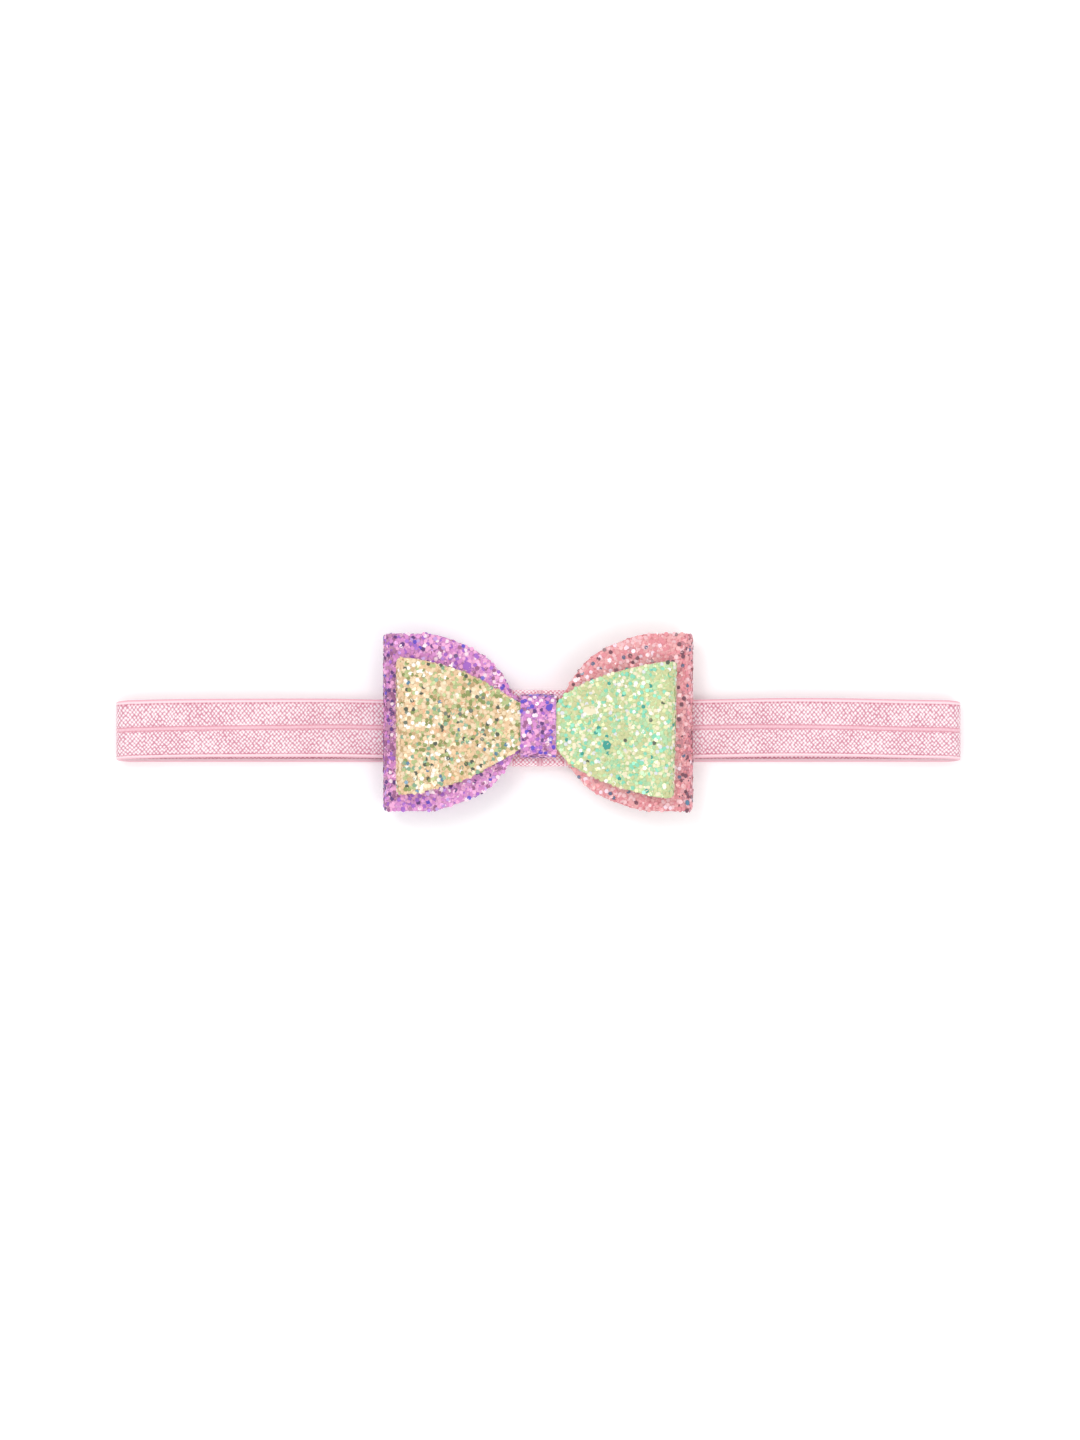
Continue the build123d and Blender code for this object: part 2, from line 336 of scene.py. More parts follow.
def spunThread():
    # spun polyester sewing thread, twisted: fine slanting plies with a soft sheen
    material, tree, shader = newMaterial("sewingThreadSpun", Roughness=0.6, Sheen_Weight=0.3)
    place = addNode(tree, "ShaderNodeTexCoord").outputs["Object"]
    plies = addNode(
        tree,
        "ShaderNodeTexWave",
        {"Vector": place, "Scale": 1 / (threadSet["ply"] * mm), "Distortion": 0.6},
        bands_direction="DIAGONAL",
    )
    # darker in the grooves between the plies and lighter on their crowns, as painted shade
    colour = addNode(
        tree, "ShaderNodeValToRGB", {"Fac": plies.outputs["Fac"]}, [(0.2, "DDA9BA"), (0.8, "F6D3DD")]
    )
    tree.links.new(colour.outputs[0], shader.inputs["Base Color"])
    bump = addNode(
        tree,
        "ShaderNodeBump",
        {"Height": plies.outputs["Fac"], "Strength": 0.5, "Distance": threadSet["relief"] * mm},
    )
    tree.links.new(bump.outputs[0], shader.inputs["Normal"])
    return material


# glitter film: polyester with a pearl or metal layer, cut into hexagons. The cut flakes are flat
# and very smooth, so each one shows a single tone, with a faint colour shift
# White and Blush flakes are partly real pale flakes and partly painted highlights, standing for the glints
# that tilted flakes catch
filmColours = {
    "Peach": "EBC69E", "Cream": "F2DAB8", "White": "FFFAF1", "Lime": "B7C288", "Olive": "8E975C",
    "Sage": "84A98C", "Teal": "3FA095", "Charcoal": "555A50", "Apricot": "EDB48C", "Steel": "5C82A0",
    "Tan": "C6A67A", "Mint": "B2D8A9", "Aqua": "8ADABA", "YellowGreen": "CFD19C", "Pearl": "E0E2E6",
    "Orchid": "DA8BCE", "Pink": "F6AEDC", "Violet": "A966CB", "BlueViolet": "664BC8", "Plum": "643A80",
    "Blush": "FCE0EE", "Lilac": "C79AE0", "Mauve": "A0608F", "Heather": "BE84A6", "Coral": "E9929E",
    "Salmon": "EDAAAE", "Rose": "F4C4CB", "Brown": "7B4C5E", "Slate": "666D8C", "Dusty": "C98591",
    "Ivory": "F2E8C8",
}
filmMaterials = {}


def flakeFilm(colour):
    # the film of one colour, made once
    if colour not in filmMaterials:
        filmMaterials[colour] = newMaterial(
            "glitterFilmCut" + colour,
            Base_Color=hexColour(filmColours[colour]),
            Metallic=0.1,
            Roughness=0.26,
            Coat_Weight=0.3,
            Coat_Roughness=0.12,
            Thin_Film_Thickness=380.0,
            Thin_Film_IOR=1.45,
        )[0]
    return filmMaterials[colour]


elastic = foldOverElastic(knitSet["band"])
# the keeper's copy of the elastic is painted lighter, to make up for the shade the bow casts on it
keeperElastic = foldOverElastic(knitSet["keeper"])
backing = wovenBacking()
glue = hotGlue()
sewingThread = spunThread()
print("materials made")


def meshObject(name, points, faces, material, smooth=True):
    # an object from points in millimetres
    mesh = bpy.data.meshes.new(name)
    mesh.from_pydata((np.asarray(points) * mm).tolist(), [], faces)
    mesh.materials.append(material)
    if smooth:
        mesh.polygons.foreach_set("use_smooth", [True] * len(mesh.polygons))
    piece = bpy.data.objects.new(name, mesh)
    bpy.context.scene.collection.objects.link(piece)
    return piece


def stripMesh(name, places, normals, across, section, material, pulled=0.0):
    # a closed strip that follows a path. section holds, for each place, a closed outline of
    # (distance across, distance out); the place along, across and out is kept for the patterns.
    # pulled moves each place's middle across, as in a band that is pulled askew
    count, around = section.shape[:2]
    half = np.abs(section[:, :, 0]).max(axis=1)[:, None]
    middle = 1 - (section[:, :, 0] / half) ** 2
    sideways = section[:, :, 0] + middle * np.broadcast_to(pulled, count)[:, None]
    points = places[:, None] + sideways[..., None] * across + section[:, :, 1:2] * normals[:, None]
    steps = np.linalg.norm(np.diff(places, axis=0), axis=1)
    along = np.concatenate([[0], np.cumsum(steps)])
    ring = np.arange(around)
    after = np.roll(ring, -1)
    faces = []
    for i in range(count - 1):
        low, high = i * around, (i + 1) * around
        faces += np.stack([low + ring, low + after, high + after, high + ring], axis=1).tolist()
    faces.append(ring[::-1].tolist())
    faces.append((ring + (count - 1) * around).tolist())
    piece = meshObject(name, points.reshape(-1, 3), faces, material)
    mesh = piece.data
    kept = np.concatenate([np.repeat(along, around)[:, None], section.reshape(-1, 2)], axis=1)
    mesh.attributes.new("stripPlace", "FLOAT_VECTOR", "POINT").data.foreach_set("vector", kept.ravel())
    # the cut ends are flat, with a sharp rim
    ends = np.empty(len(mesh.edges) * 2, dtype=int)
    mesh.edges.foreach_get("vertices", ends)
    ringOf = ends.reshape(-1, 2) // around
    rim = (ringOf[:, 0] == ringOf[:, 1]) & ((ringOf[:, 0] == 0) | (ringOf[:, 0] == count - 1))
    mesh.attributes.new("sharp_edge", "BOOLEAN", "EDGE").data.foreach_set("value", rim)
    work = bmesh.new()
    work.from_mesh(mesh)
    bmesh.ops.recalc_face_normals(work, faces=work.faces)
    work.to_mesh(mesh)
    work.free()
    return piece


def ease(t):
    # from 0 to 1 with level ends
    t = np.clip(t, 0, 1)
    return t * t * (3 - 2 * t)


def curveThrough(pairs, at):
    # a smooth curve through (position, value) pairs, level past both ends
    x, y = np.array(pairs, float).T
    slope = np.gradient(y, x)
    slope[0], slope[-1] = (y[1] - y[0]) / (x[1] - x[0]), 0
    at = np.clip(at, x[0], x[-1])
    i = np.clip(np.searchsorted(x, at) - 1, 0, len(x) - 2)
    h = x[i + 1] - x[i]
    t = (at - x[i]) / h
    rise = y[i] * (1 + 2 * t) * (1 - t) ** 2 + y[i + 1] * t * t * (3 - 2 * t)
    return rise + h * t * (1 - t) * (slope[i] * (1 - t) - slope[i + 1] * t)


def bentNormals(path):
    # unit normals to the left of a path in a plane
    run = np.gradient(path, axis=0)
    run /= np.linalg.norm(run, axis=1)[:, None]
    return np.stack([-run[:, 1], run[:, 0]], axis=1)


# The elastic band, in two halves that meet behind the bow.
bandSet = {
    "ringStep": 0.6,
    "selvedge": 1.6,  # width of each edge that is modelled finely
    "plainGap": 0.2,  # from there to the first point of the plain stretch
    "creasePlace": 0.4,  # middle of the crease, above the band's middle
    "creaseGap": 1.0,  # between its two grooves
    "creaseDepth": 0.17,
    "grooveWide": 0.17,
    "corePlace": 6.35,  # the hollow inside each corded selvedge
    "coreDepth": 0.07,
    "coreWide": 0.22,
    "edgeRound": 0.35,
    "lapFrom": 6.3,  # the upper end comes down off the lower one over this far past the lap
    "lapOver": 6.0,
    "waveFrom": 44.0,
    "waveFade": (12.0, 14.0),  # the waves grow and fade over these lengths
    "waviness": 0.12,
    "waveSizes": (6.1, 17.0),
    "sideWave": 0.09,
    "sideWaveSize": 11.0,
    "arch": 0.5,  # the front layer bows up a little between the bow and the fold
    "foldSkew": 0.85,  # the front layer's ends lie this much above the back layer
    "creaseDrop": -0.45,  # and its crease sags towards them
    "dropFrom": 25.0,
    "dropOver": 75.0,
    "meetAt": 70.0,  # the front layer lies over the back one from here out
    "riseGap": 2.4,  # it starts to rise this far past the bow
    "stretchFrom": 12.0,
    "stretchTo": 102.0,
}


def elasticSection(width, thick):
    # the elastic's cross-section: a double groove at the crease, and a cord along each edge
    half = width / 2
    edge = np.linspace(half - bandSet["selvedge"], half, 11)
    crease = bandSet["creasePlace"] + np.linspace(-bandSet["creaseGap"], bandSet["creaseGap"], 17)
    inner = half - bandSet["selvedge"] - bandSet["plainGap"]
    v = np.unique(np.concatenate([-edge, edge, crease, np.linspace(-inner, inner, 12)]))
    h = np.full(len(v), thick / 2)
    for way in (-1, 1):
        groove = bandSet["creasePlace"] + way * bandSet["creaseGap"] / 2
        core = way * bandSet["corePlace"]
        h -= bandSet["creaseDepth"] * np.exp(-(((v - groove) / bandSet["grooveWide"]) ** 2))
        h -= bandSet["coreDepth"] * np.exp(-(((v - core) / bandSet["coreWide"]) ** 2))
    roundOff = np.clip((np.abs(v) - half) / bandSet["edgeRound"] + 1, 0, 1)
    h *= np.sqrt(np.clip(1 - roundOff**2, 0.02, 1))
    top = np.stack([v, h], axis=1)
    return np.concatenate([top, top[::-1] * [1, -1]])


backLow, backHigh = nodeBox("band_back")
endLow, endHigh = nodeBox("band_end_right")
frontHigh = nodeBox("band_front_right")[1]
leftLow, leftHigh = nodeBox("band_front_left")
thick = backHigh[2] - backLow[2]
width = endHigh[1] - endLow[1]
backY = (endHigh[1] + endLow[1]) / 2
frontY = backY + (frontHigh[1] - endHigh[1])
lapEnd = leftHigh[0]
lowFront = leftLow[2] + thick / 2
highFront = endHigh[2] - thick / 2
foldRadius = (endHigh[2] - thick) / 2
foldX = endHigh[0] - endHigh[2] / 2
bowReach = nodeBox("big_loop_right_glitter")[1][0]
riseFrom = bowReach + bandSet["riseGap"]
riseTo = endLow[0]


def bandPath(side):
    # out along the front layer, round the fold and back along the back layer, for a right half
    x = np.linspace(-lapEnd, foldX, round((foldX + lapEnd) / bandSet["ringStep"]))[:-1]
    rise = lowFront + (highFront - lowFront) * ease((x - riseFrom) / (riseTo - riseFrom))
    if side > 0:  # this half's end lies over the other one's
        rise = rise + thick * ease((lapEnd + bandSet["lapFrom"] - x) / bandSet["lapOver"])
    # slack waves, away from the bow and the fold
    growOver, fadeOver = bandSet["waveFade"]
    loose = ease((x - bandSet["waveFrom"]) / growOver) * ease((foldX - x) / fadeOver)
    short, long = bandSet["waveSizes"]
    rise = rise + bandSet["waviness"] * loose * np.sin(x / short + side) * np.sin(x / long)
    drift = frontY + (backY + bandSet["foldSkew"] - frontY) * np.clip(x / bandSet["meetAt"], 0, 1)
    drift = drift + bandSet["arch"] * np.sin(math.pi * np.clip((x - bowReach) / (foldX - bowReach), 0, 1))
    drift = drift + bandSet["sideWave"] * loose * np.sin(x / bandSet["sideWaveSize"] + 2 * side)
    turns = np.linspace(0, math.pi, 25)
    arcX = foldX + foldRadius * np.sin(turns)
    arcY = backY + bandSet["foldSkew"] * (1 - turns / math.pi)
    arcZ = foldRadius * np.cos(turns) + endHigh[2] / 2
    backX = np.linspace(foldX, 0, int(foldX / bandSet["ringStep"]))[1:]
    px = np.concatenate([x, arcX, backX])
    pz = np.concatenate([rise, arcZ, np.full(len(backX), thick / 2)])
    py = np.concatenate([drift, arcY, np.full(len(backX), backY)])
    isFront = np.clip((pz - foldRadius) / foldRadius, 0, 1)
    pulled = bandSet["creaseDrop"] * ease((px - bandSet["dropFrom"]) / bandSet["dropOver"]) * isFront
    normal = bentNormals(np.stack([px, pz], axis=1))
    places = np.stack([px * side, py, pz], axis=1)
    normals = np.stack([normal[:, 0] * side, np.zeros(len(px)), normal[:, 1]], axis=1)
    return places, normals, pulled


for label, side in sides.items():
    places, normals, pulled = bandPath(side)
    section = np.repeat(elasticSection(width, thick)[None], len(places), axis=0)
    sideways = np.array([0, 1.0, 0])
    band = stripMesh("elasticBand" + label, places, normals, sideways, section, elastic, pulled)
    half = label.lower()
    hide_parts(f"band_front_{half}", f"band_end_{half}", "band_back")
    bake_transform(band)
print("elastic band made")


def roundedPath(corners, radii, step):
    # straight runs joined by arcs, as evenly spaced points
    corners = np.array(corners, float)
    path = [corners[0]]
    for before, corner, after, radius in zip(corners, corners[1:], corners[2:], radii):
        back = (before - corner) / np.linalg.norm(before - corner)
        on = (after - corner) / np.linalg.norm(after - corner)
        centre = corner + back * radius + on * radius
        for turn in np.linspace(0, math.pi / 2, 9):
            path.append(centre - on * radius * math.cos(turn) - back * radius * math.sin(turn))
    path.append(corners[-1])
    path = np.array(path)
    run = np.concatenate([[0], np.cumsum(np.linalg.norm(np.diff(path, axis=0), axis=1))])
    keep = np.concatenate([[True], np.diff(run) > 1e-6])
    at = np.linspace(0, run[-1], int(run[-1] / step))
    return np.stack([np.interp(at, run[keep], path[keep, k]) for k in (0, 1)], axis=1)


def coilPath(start, side, floor, roof, under, radii, step=0.22):
    # a strip once round and overlapped below, as (y, z); its left is its outside
    corners = [(start, floor), (-side, floor), (-side, roof), (side, roof), (side, under), (-start, under)]
    return roundedPath(corners, radii, step)


def coilStrip(name, path, middleY, section, material):
    # the strip that follows such a path, with its width along the band
    normal = bentNormals(path)
    zero = np.zeros(len(path))
    places = np.stack([zero, path[:, 0] + middleY, path[:, 1]], axis=1)
    normals = np.stack([zero, normal[:, 0], normal[:, 1]], axis=1)
    if section.ndim == 2:
        section = np.repeat(section[None], len(path), axis=0)
    return stripMesh(name, places, normals, np.array([1.0, 0, 0]), section, material)


# The keeper: a short length of elastic round the band's front layer.
keeperSet = {"pastGlue": 0.4, "bend": 1.4}
keeperLow, keeperHigh = nodeBox("band_keeper")
glueHigh = nodeBox("keeper_glue")[1]
keeperPath = coilPath(
    glueHigh[1] - frontY + keeperSet["pastGlue"],
    (keeperHigh[1] - keeperLow[1] - thick) / 2,
    glueHigh[2] + thick / 2,
    keeperHigh[2] - thick / 2,
    keeperLow[2] + thick / 2,
    [keeperSet["bend"]] * 4,
)
keeper = coilStrip("elasticKeeper", keeperPath, frontY, elasticSection(width, thick), keeperElastic)
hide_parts("band_keeper")
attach(keeper, "bow_and_band")
print("keeper made")


# The glitter flakes that cover the bows and the wrap.
flakeSet = {
    "jitter": 0.46,  # share of the spacing that a flake may lie off its place
    "fineRadius": (0.2, 0.32),
    "fineLift": (0.0, 0.04),
    "chunkyRadius": (0.5, 0.62),
    "chunkyLift": (0.04, 0.13),
    "largeLift": 0.17,
    "uneven": 0.05,  # share of the radius that a corner may be out
    "film": 0.05,  # the film's thickness, drawn a little thicker than real
    "tilt": 0.12,
    "steady": 0.55,  # flakes with a larger radius than this tilt less
    "drift": 0.75,
    "driftSize": (1.6, 4.2),
    "driftBend": 4.5,
}


def pickSpots(rng, spans, spacing):
    # jittered spots over a rectangle, one to a cell, so that the flakes cover it evenly
    (lowA, highA), (lowB, highB) = spans
    a, b = np.meshgrid(
        np.arange(lowA, highA, spacing), np.arange(lowB, highB, spacing), indexing="ij"
    )
    b = b + (np.arange(a.shape[0]) % 2)[:, None] * spacing / 2
    spots = np.stack([a.ravel(), b.ravel()], axis=1)
    return spots + rng.uniform(-flakeSet["jitter"], flakeSet["jitter"], spots.shape) * spacing


def pickFilms(rng, spots, mix):
    # a film for each flake; every film gathers in loose drifts, as glitter does when it is strewn
    names = np.array(list(mix))
    weights = np.empty((len(spots), len(names)))
    for k, share in enumerate(mix.values()):
        reach = rng.uniform(*flakeSet["driftSize"], 2)
        phase = rng.uniform(0, 2 * math.pi, 3)
        bend = np.sin(spots[:, 1] / flakeSet["driftBend"] + phase[2])
        along = np.cos(spots[:, 0] / reach[0] + phase[0] + bend)
        across = np.cos(spots[:, 1] / reach[1] + phase[1])
        weights[:, k] = share * np.exp(flakeSet["drift"] * along * across)
    weights = np.cumsum(weights, axis=1)
    draw = rng.uniform(0, 1, len(spots)) * weights[:, -1]
    return names[np.argmax(weights >= draw[:, None], axis=1)]


def strewFlakes(rng, spans, settings):
    # fine flakes first, and the chunky ones lying over them
    spots, radii, lifts, films = [], [], [], []
    for layer in ("fine", "chunky"):
        found = pickSpots(rng, spans, settings[layer + "Spacing"])
        spots.append(found)
        radii.append(rng.uniform(*flakeSet[layer + "Radius"], len(found)))
        lifts.append(rng.uniform(*flakeSet[layer + "Lift"], len(found)))
        films.append(pickFilms(rng, found, settings[layer]))
    return [np.concatenate(part) for part in (spots, radii, lifts, films)]


def flakeMesh(name, rng, places, normals, runs, radii, lifts, films):
    # thin six-sided prisms, each tilted a little out of the surface that it is stuck to
    count = len(places)
    steady = flakeSet["steady"] / np.maximum(radii, flakeSet["steady"])
    tilt = rng.normal(0, flakeSet["tilt"], (count, 2)) * steady[:, None]
    across = np.cross(normals, runs)
    facing = normals + runs * tilt[:, :1] + across * tilt[:, 1:]
    facing /= np.linalg.norm(facing, axis=1)[:, None]
    first = runs - facing * np.sum(runs * facing, axis=1)[:, None]
    first /= np.linalg.norm(first, axis=1)[:, None]
    second = np.cross(facing, first)
    turn = rng.uniform(0, 2 * math.pi, count)[:, None] + np.arange(6) * math.pi / 3
    rim = radii[:, None] * (1 + rng.uniform(-flakeSet["uneven"], flakeSet["uneven"], (count, 6)))
    flat = (
        np.cos(turn)[..., None] * first[:, None] + np.sin(turn)[..., None] * second[:, None]
    ) * rim[..., None]
    lift = lifts[:, None, None]
    top = places[:, None] + flat + facing[:, None] * (lift + flakeSet["film"])
    bottom = places[:, None] + flat + facing[:, None] * lift
    points = np.concatenate([top, bottom], axis=1).reshape(-1, 3)
    ring = np.arange(6)
    after = np.roll(ring, -1)
    sideFaces = np.stack([ring, ring + 6, after + 6, after], axis=1)
    faces = []
    for start in range(0, count * 12, 12):
        faces.append((ring + start).tolist())
        faces.append((ring[::-1] + 6 + start).tolist())
        faces += (sideFaces + start).tolist()
    names, chosen = np.unique(films, return_inverse=True)
    piece = meshObject(name, points, faces, flakeFilm(str(names[0])), smooth=False)
    for film in names[1:]:
        piece.data.materials.append(flakeFilm(str(film)))
    piece.data.polygons.foreach_set("material_index", np.repeat(chosen, 8))
    return piece


# The glitter sheet, and the folded loops of both bows cut from it.
sheetSet = {"backing": 0.55, "coat": 0.35}
sheetThick = sheetSet["backing"] + sheetSet["coat"]
wrapLow, wrapHigh = nodeBox("wrap_glitter")
wrapEdge = wrapHigh[0]
wrapY = (wrapLow[1] + wrapHigh[1]) / 2
wrapInner = (wrapHigh[1] - wrapLow[1]) / 2 - sheetThick

# how each bow's outline widens from the wrap to its full height, as shares of both
bigOutline = (
    (0, 0), (0.08, 0.08), (0.14, 0.25), (0.23, 0.44), (0.305, 0.575), (0.47, 0.755), (0.65, 0.88),
    (0.8, 0.96), (1, 1),
)
smallOutline = ((0, 0), (0.16, 0.24), (0.3, 0.44), (0.45, 0.64), (0.72, 0.87), (1, 1))
pinchedOutline = ((0, 0), (0.07, 0.2), (0.16, 0.36), (0.43, 0.67), (0.72, 0.88), (1, 1))

# each loop's own settings; reach is how far its fold is from the middle, flare where it has its
# full height, and large its loose large flakes as (x, y, radius, film)
# fold is the flake mix near the fold: darker on the big loops as painted shade where the sheet turns away,
# plainer on the small loops
loopSet = {
    "bigLoopLeft": {
        "node": "big_loop_left", "slot": "glitter_orchid", "glue": "big_bow_glue",
        "reach": 39.6, "shift": 0.0, "flare": 30.0, "waist": 13.7, "outline": bigOutline, "lean": 0.0,
        "curl": 0.2,
        "seed": 11, "fineSpacing": 0.8, "chunkySpacing": 1.02, "foldZone": 3.9,
        "coat": ("resinGlitterOrchid", "BC70B2", "DA94CE", "EFB4DE", "8F569F"),
        "fine": {"Orchid": 42, "Pink": 26, "Violet": 18, "Heather": 8, "Blush": 6},
        "chunky": {"Orchid": 30, "Pink": 24, "Violet": 16, "Blush": 10, "Lilac": 4, "BlueViolet": 3,
                   "Mauve": 8, "Plum": 5},
        "fold": {"Heather": 34, "Mauve": 22, "Plum": 15, "Orchid": 12, "Pink": 8, "Violet": 9},
        "large": [(-18.3, 14.4, 1.2, "Violet")],
    },
    "bigLoopRight": {
        "node": "big_loop_right", "slot": "glitter_coral", "glue": "big_bow_glue",
        "reach": 39.5, "shift": 0.0, "flare": 30.0, "waist": 13.7, "outline": bigOutline, "lean": 0.0,
        "curl": 0.2,
        "seed": 12, "fineSpacing": 0.72, "chunkySpacing": 1.15, "foldZone": 3.9,
        "coat": ("resinGlitterCoral", "E0808A", "EC9CA2", "F4B8BC", "C26C78"),
        "fine": {"Coral": 32, "Salmon": 46, "Rose": 22},
        "chunky": {"Coral": 27, "Salmon": 29, "Rose": 22, "Brown": 7.5, "Slate": 2.5, "Blush": 8,
                   "Dusty": 5},
        "fold": {"Rose": 22, "Dusty": 30, "Coral": 16, "Salmon": 16, "Brown": 14, "Slate": 3},
        "large": [(38.0, -20.6, 0.75, "Steel")],
    },
    "smallLoopLeft": {
        "node": "small_loop_left", "slot": "glitter_cream", "glue": "small_bow_glue",
        "reach": 36.2, "shift": 1.0, "flare": 34.0, "waist": 11.6, "outline": smallOutline, "lean": 0.0,
        "curl": 0.45,
        "seed": 13, "fineSpacing": 0.84, "chunkySpacing": 0.93, "foldZone": 2.2,
        "coat": ("resinGlitterCream", "D6B384", "ECCBA0", "F5DDB8", "A99A66"),
        "fine": {"Peach": 36, "Cream": 34, "Ivory": 8, "Lime": 12, "Tan": 10},
        "chunky": {"Peach": 17, "Cream": 20, "White": 11, "Ivory": 6, "Lime": 15, "Olive": 12, "Sage": 6,
                   "Charcoal": 4, "Apricot": 2, "Steel": 0.6, "Tan": 5},
        "fold": {"Peach": 36, "Cream": 40, "White": 6, "Tan": 12, "Lime": 6},
        "large": [(-8.3, 5.5, 1.05, "Lime")],
    },
    "smallLoopRight": {
        "node": "small_loop_right", "slot": "glitter_mint", "glue": "small_bow_glue",
        "reach": 34.9, "shift": 0.0, "flare": 33.0, "waist": 11.2, "outline": pinchedOutline, "lean": 0.022,
        "curl": 0.5,
        "seed": 14, "fineSpacing": 0.74, "chunkySpacing": 1.0, "foldZone": 2.0,
        "coat": ("resinGlitterMint", "BDD898", "D3E4A8", "E2EDBE", "9CC488"),
        "fine": {"YellowGreen": 56, "Mint": 26, "Ivory": 12, "Aqua": 6},
        "chunky": {"YellowGreen": 36, "Mint": 20, "Aqua": 12, "Ivory": 18, "White": 6, "Teal": 2.2,
                   "Charcoal": 0.8, "Pearl": 3},
        "fold": {"YellowGreen": 40, "Mint": 28, "Ivory": 22, "Pearl": 6},
        "large": [(17.6, -5.8, 1.25, "Teal"), (12.4, 3.1, 1.1, "Ivory"), (13.9, 2.7, 1.0, "Ivory")],
    },
}


settleSet = {
    "ripple": 0.14,
    "rippleSizes": (4.3, 5.1, 17.0),
    "rippleStart": 0.6,
    "raggedness": 0.05,
    "corner": 1.3,
    "bareEdge": 0.05,
    "underWrap": 0.3,  # how far the flakes go on under the wrap's edge
    "startGap": 1.5,  # the sheets are held flat this far past the wrap
    "growOver": 14,
    "foldFade": 0.8,
    "curlSpan": 20,
    "leanSpan": 35,
    "foldMixed": 0.8,  # share of flakes at the folds that take the fold's own film mix, darker on the big loops as painted shade
}


def foldedProfile(settings, out, step=0.5):
    # the folded sheet seen along Y, `out` outside its inner face, for a right loop: from the
    # middle along the front leaf, round the fold and back along the back leaf
    low, high = nodeBox(settings["node"] + "_glitter")
    glueLow, glueHigh = nodeBox(settings["glue"])
    reach = settings["reach"]
    foldHeight = settings["foldHeight"]
    foldX = reach - foldHeight / 2
    foldZ = settings["foldLow"] + foldHeight / 2
    radius = foldHeight / 2 - sheetThick + out
    buttEnd = min(abs(low[0]), abs(high[0]))
    leaf = np.linspace(buttEnd, foldX, round((foldX - buttEnd) / step))[:-1]
    climb = ease((leaf - wrapEdge) / (foldX - wrapEdge))
    front = glueHigh[2] + out + (foldZ + radius - glueHigh[2] - out) * climb
    back = glueLow[2] - out + (foldZ - radius - glueLow[2] + out) * climb
    turns = np.linspace(0, math.pi, 21)
    x = np.concatenate([leaf, foldX + radius * np.sin(turns), leaf[::-1]])
    z = np.concatenate([front, foldZ + radius * np.cos(turns), back[::-1]])
    return np.stack([x, z], axis=1)


def outlineAt(settings, x):
    # the cut outline's lower and upper edge at a distance from the middle
    low, high = nodeBox(settings["node"] + "_glitter")
    reach = settings["reach"]
    corner = settleSet["corner"]
    flare = curveThrough(settings["outline"], (x - wrapEdge) / (settings["flare"] - wrapEdge))
    roundOff = corner - np.sqrt(np.clip(corner**2 - np.clip(x - reach + corner, 0, corner) ** 2, 0, None))
    edges = []
    for way, full in ((-1, low[1]), (1, high[1])):
        waist = wrapY + way * settings["waist"] / 2
        edges.append(waist + (full + settings["shift"] - waist) * flare - way * roundOff)
    return edges


def settle(points, settings):
    # a loop may lean a little; its sheet ripples slightly and its corners curl up
    points = np.array(points)
    x, y = np.abs(points[:, 0]), points[:, 1] - wrapY
    away = ease((x - wrapEdge - settleSet["startGap"]) / settleSet["growOver"])
    along, across, askew = settleSet["rippleSizes"]
    phase = x / along + settleSet["rippleStart"]
    ripple = settleSet["ripple"] * np.sin(phase) * np.cos(y / across + x / askew)
    points[:, 2] += away * (ripple + settings["curl"] * (y / settleSet["curlSpan"]) ** 2)
    points[:, 0] *= 1 + settings["lean"] * y / settleSet["leanSpan"]
    return points


def loopShell(name, settings, side, inner, outer, material):
    # one layer of the folded sheet, closed all round
    rng = np.random.default_rng(settings["seed"])
    w = np.linspace(0, 1, 40)
    middle = foldedProfile(settings, (inner + outer) / 2)
    normal = bentNormals(middle)
    bottom, top = outlineAt(settings, middle[:, 0])
    ragged = rng.normal(0, settleSet["raggedness"], (2, len(middle)))
    bottom, top = bottom + ragged[0], top + ragged[1]
    half = (outer - inner) / 2
    v = bottom[:, None] + (top - bottom)[:, None] * w
    outside = np.stack([v, np.full_like(v, half)], axis=2)
    inside = np.stack([v[:, ::-1], np.full_like(v, -half)], axis=2)
    section = np.concatenate([outside, inside], axis=1)
    places = np.stack([middle[:, 0] * side, np.zeros(len(middle)), middle[:, 1]], axis=1)
    normals = np.stack([normal[:, 0] * side, np.zeros(len(middle)), normal[:, 1]], axis=1)
    piece = stripMesh(name, places, normals, np.array([0, 1.0, 0]), section, material)
    points = np.empty(len(piece.data.vertices) * 3)
    piece.data.vertices.foreach_get("co", points)
    points = settle(points.reshape(-1, 3) / mm, settings) * mm
    piece.data.vertices.foreach_set("co", points.ravel())
    return piece


